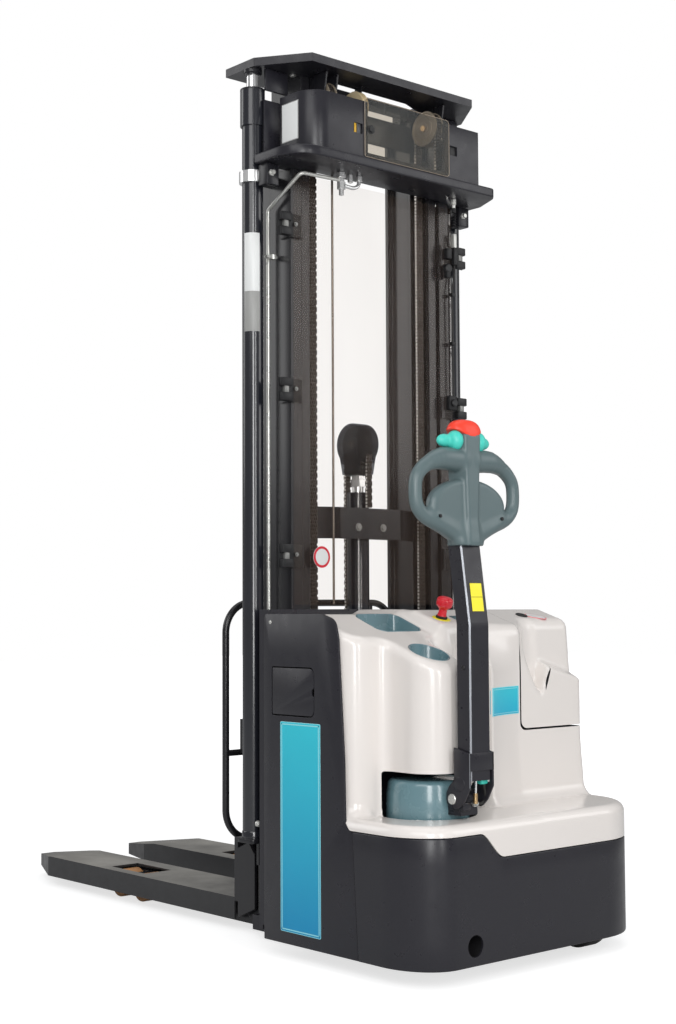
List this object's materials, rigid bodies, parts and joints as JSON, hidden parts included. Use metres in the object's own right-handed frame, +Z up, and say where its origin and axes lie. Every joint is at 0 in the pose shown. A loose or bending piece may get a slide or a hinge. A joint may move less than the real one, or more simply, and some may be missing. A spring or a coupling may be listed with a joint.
{
  "type": "electric pallet stacker",
  "caption": "Pedestrian electric stacker with forks over support legs, a telescopic mast with free lift, a side tiller and a cream hood over a charcoal chassis.",
  "frame": {"origin": "on the floor under the middle of the truck's bounding box", "axes": "+Z up along the mast, +Y towards the fork tips, +X to the right hand of an operator who faces the mast"},
  "size_m": [0.82, 2, 2.287],
  "materials": {
    "charcoal_steel": "satin",
    "mast_steel": "satin",
    "cream_plastic": "glossy",
    "blue_grey_plastic": "satin",
    "fork_steel": "worn",
    "chrome_rod": "polished",
    "chain_steel": "oiled",
    "clear_guard": "clear",
    "zinc_pipe": "plated",
    "wheel_tyre": "matte",
    "drive_tyre": "matte",
    "battery_case": "matte",
    "red_plastic": "glossy",
    "head_plastic": "satin"
  },
  "bodies": {
    "chassis": {"base_frame": "charcoal_steel", "battery_pack": "battery_case", "support_legs": "mast_steel", "outer_mast": "mast_steel", "crosshead": "charcoal_steel", "clear_guards": "clear_guard", "lift_cylinders": "mast_steel", "hydraulic_pipe": "zinc_pipe", "bulkhead": "charcoal_steel", "side_panel_left": "charcoal_steel", "side_panel_right": "charcoal_steel", "rear_skirt": "charcoal_steel", "rear_deck": "cream_plastic", "hood_tower": "cream_plastic", "storage_tray": "blue_grey_plastic", "cup_holder": "blue_grey_plastic", "emergency_stop": "red_plastic", "key_panel": "blue_grey_plastic"},
    "mast_middle": {"middle_mast": "mast_steel", "mast_top_plate": "charcoal_steel", "chain_pulleys": "chain_steel", "lift_rods": "chrome_rod", "upper_chains": "chain_steel"},
    "mast_inner": {"inner_mast": "mast_steel", "freelift_cylinder": "mast_steel", "lower_chains": "chain_steel"},
    "freelift_head": {"freelift_head": "mast_steel", "freelift_rear_chain": "chain_steel"},
    "carriage": {"carriage_frame": "mast_steel", "load_backrest": "mast_steel", "fork_left": "fork_steel", "fork_right": "fork_steel", "freelift_front_chain": "chain_steel"},
    "hatch_door": {"hatch_door": "charcoal_steel"},
    "battery_lid": {"battery_lid": "cream_plastic"},
    "drive_unit": {"drive_unit": "mast_steel", "steering_dome": "blue_grey_plastic"},
    "drive_wheel": {"drive_wheel": "drive_tyre"},
    "tiller": {"tiller_arm": "charcoal_steel", "tiller_head": "head_plastic"},
    "castor_fork": {"castor_fork": "mast_steel"},
    "castor_wheel": {"castor_wheel": "drive_tyre"},
    "load_roller_rear_left": {"load_roller_rear_left": "wheel_tyre"},
    "load_roller_rear_right": {"load_roller_rear_right": "wheel_tyre"},
    "load_roller_front_left": {"load_roller_front_left": "wheel_tyre"},
    "load_roller_front_right": {"load_roller_front_right": "wheel_tyre"}
  },
  "joints": [
    {"name": "mast_lift", "type": "slide", "parent": "chassis", "child": "mast_middle", "axis": [0, 0, 1], "range_m": [0, 1.55], "deforming": ["upper_chains"]},
    {"name": "inner_lift", "type": "slide", "parent": "mast_middle", "child": "mast_inner", "axis": [0, 0, 1], "range_m": [0, 1.55], "deforming": ["lower_chains"]},
    {"name": "free_lift", "type": "slide", "parent": "mast_inner", "child": "freelift_head", "axis": [0, 0, 1], "range_m": [0, 0.68], "deforming": ["freelift_rear_chain"]},
    {"name": "carriage_lift", "type": "slide", "parent": "freelift_head", "child": "carriage", "axis": [0, 0, 1], "range_m": [0, 0.68], "deforming": ["freelift_front_chain"]},
    {"name": "steering", "type": "hinge", "parent": "chassis", "child": "drive_unit", "pos_m": [-0.2, -0.8, 0.25], "axis": [0, 0, 1], "range_deg": [-70, 70]},
    {"name": "drive_wheel_spin", "type": "hinge", "parent": "drive_unit", "child": "drive_wheel", "pos_m": [-0.2, -0.8, 0.115], "axis": [1, 0, 0], "continuous": true},
    {"name": "tiller_tilt", "type": "hinge", "parent": "drive_unit", "child": "tiller", "pos_m": [-0.2, -0.924, 0.411], "axis": [1, 0, 0], "range_deg": [0, 75], "stiffness_Nm_per_rad": 25, "springref_deg": -17.19},
    {"name": "hatch_hinge", "type": "hinge", "parent": "chassis", "child": "hatch_door", "pos_m": [-0.404, -0.468, 0.652], "axis": [0, 0, -1], "range_deg": [0, 100]},
    {"name": "battery_lid_hinge", "type": "hinge", "parent": "chassis", "child": "battery_lid", "pos_m": [0.275, -0.43, 0.832], "axis": [-1, 0, 0], "range_deg": [0, 70]},
    {"name": "castor_swivel", "type": "hinge", "parent": "chassis", "child": "castor_fork", "pos_m": [0.25, -0.85, 0.18], "axis": [0, 0, 1], "continuous": true},
    {"name": "castor_wheel_spin", "type": "hinge", "parent": "castor_fork", "child": "castor_wheel", "pos_m": [0.25, -0.888, 0.075], "axis": [1, 0, 0], "continuous": true},
    {"name": "load_roller_rear_left_spin", "type": "hinge", "parent": "chassis", "child": "load_roller_rear_left", "pos_m": [-0.195, 0.374, 0.04], "axis": [1, 0, 0], "continuous": true},
    {"name": "load_roller_rear_right_spin", "type": "hinge", "parent": "chassis", "child": "load_roller_rear_right", "pos_m": [0.195, 0.374, 0.04], "axis": [1, 0, 0], "continuous": true},
    {"name": "load_roller_front_left_spin", "type": "hinge", "parent": "chassis", "child": "load_roller_front_left", "pos_m": [-0.195, 0.487, 0.04], "axis": [1, 0, 0], "continuous": true},
    {"name": "load_roller_front_right_spin", "type": "hinge", "parent": "chassis", "child": "load_roller_front_right", "pos_m": [0.195, 0.487, 0.04], "axis": [1, 0, 0], "continuous": true}
  ],
  "couplings": [
    {"joint": "inner_lift", "follows": "mast_lift", "ratio": 1},
    {"joint": "carriage_lift", "follows": "free_lift", "ratio": 1}
  ]
}
